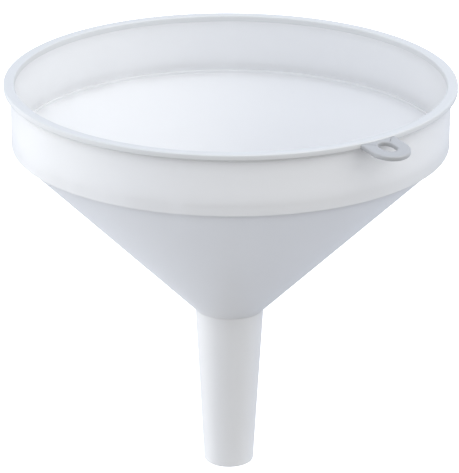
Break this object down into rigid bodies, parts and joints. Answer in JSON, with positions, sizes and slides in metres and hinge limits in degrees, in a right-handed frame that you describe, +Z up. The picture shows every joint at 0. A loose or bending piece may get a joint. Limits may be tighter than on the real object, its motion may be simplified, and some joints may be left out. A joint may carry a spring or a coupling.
{
  "type": "canning funnel",
  "caption": "Wide white plastic filling funnel with a flat lipped rim, upright collar, stepped shoulder, steep cone, long tapered spout and a hanging eyelet.",
  "frame": {"origin": "on the funnel's axis, in the plane of the spout's lower end", "axes": "+Z up along the axis, from the spout's end to the mouth; the hanging eyelet points between -Y and +X, 38 degrees from -Y"},
  "size_m": [0.25, 0.25, 0.2275],
  "materials": {
    "polypropylene": "glossy moulded white, slightly translucent"
  },
  "bodies": {
    "root": {"rim_bead": "polypropylene", "collar_wall": "polypropylene", "shoulder_ring": "polypropylene", "cone_body": "polypropylene", "spout_tube": "polypropylene", "hanging_loop": "polypropylene"}
  },
  "joints": []
}
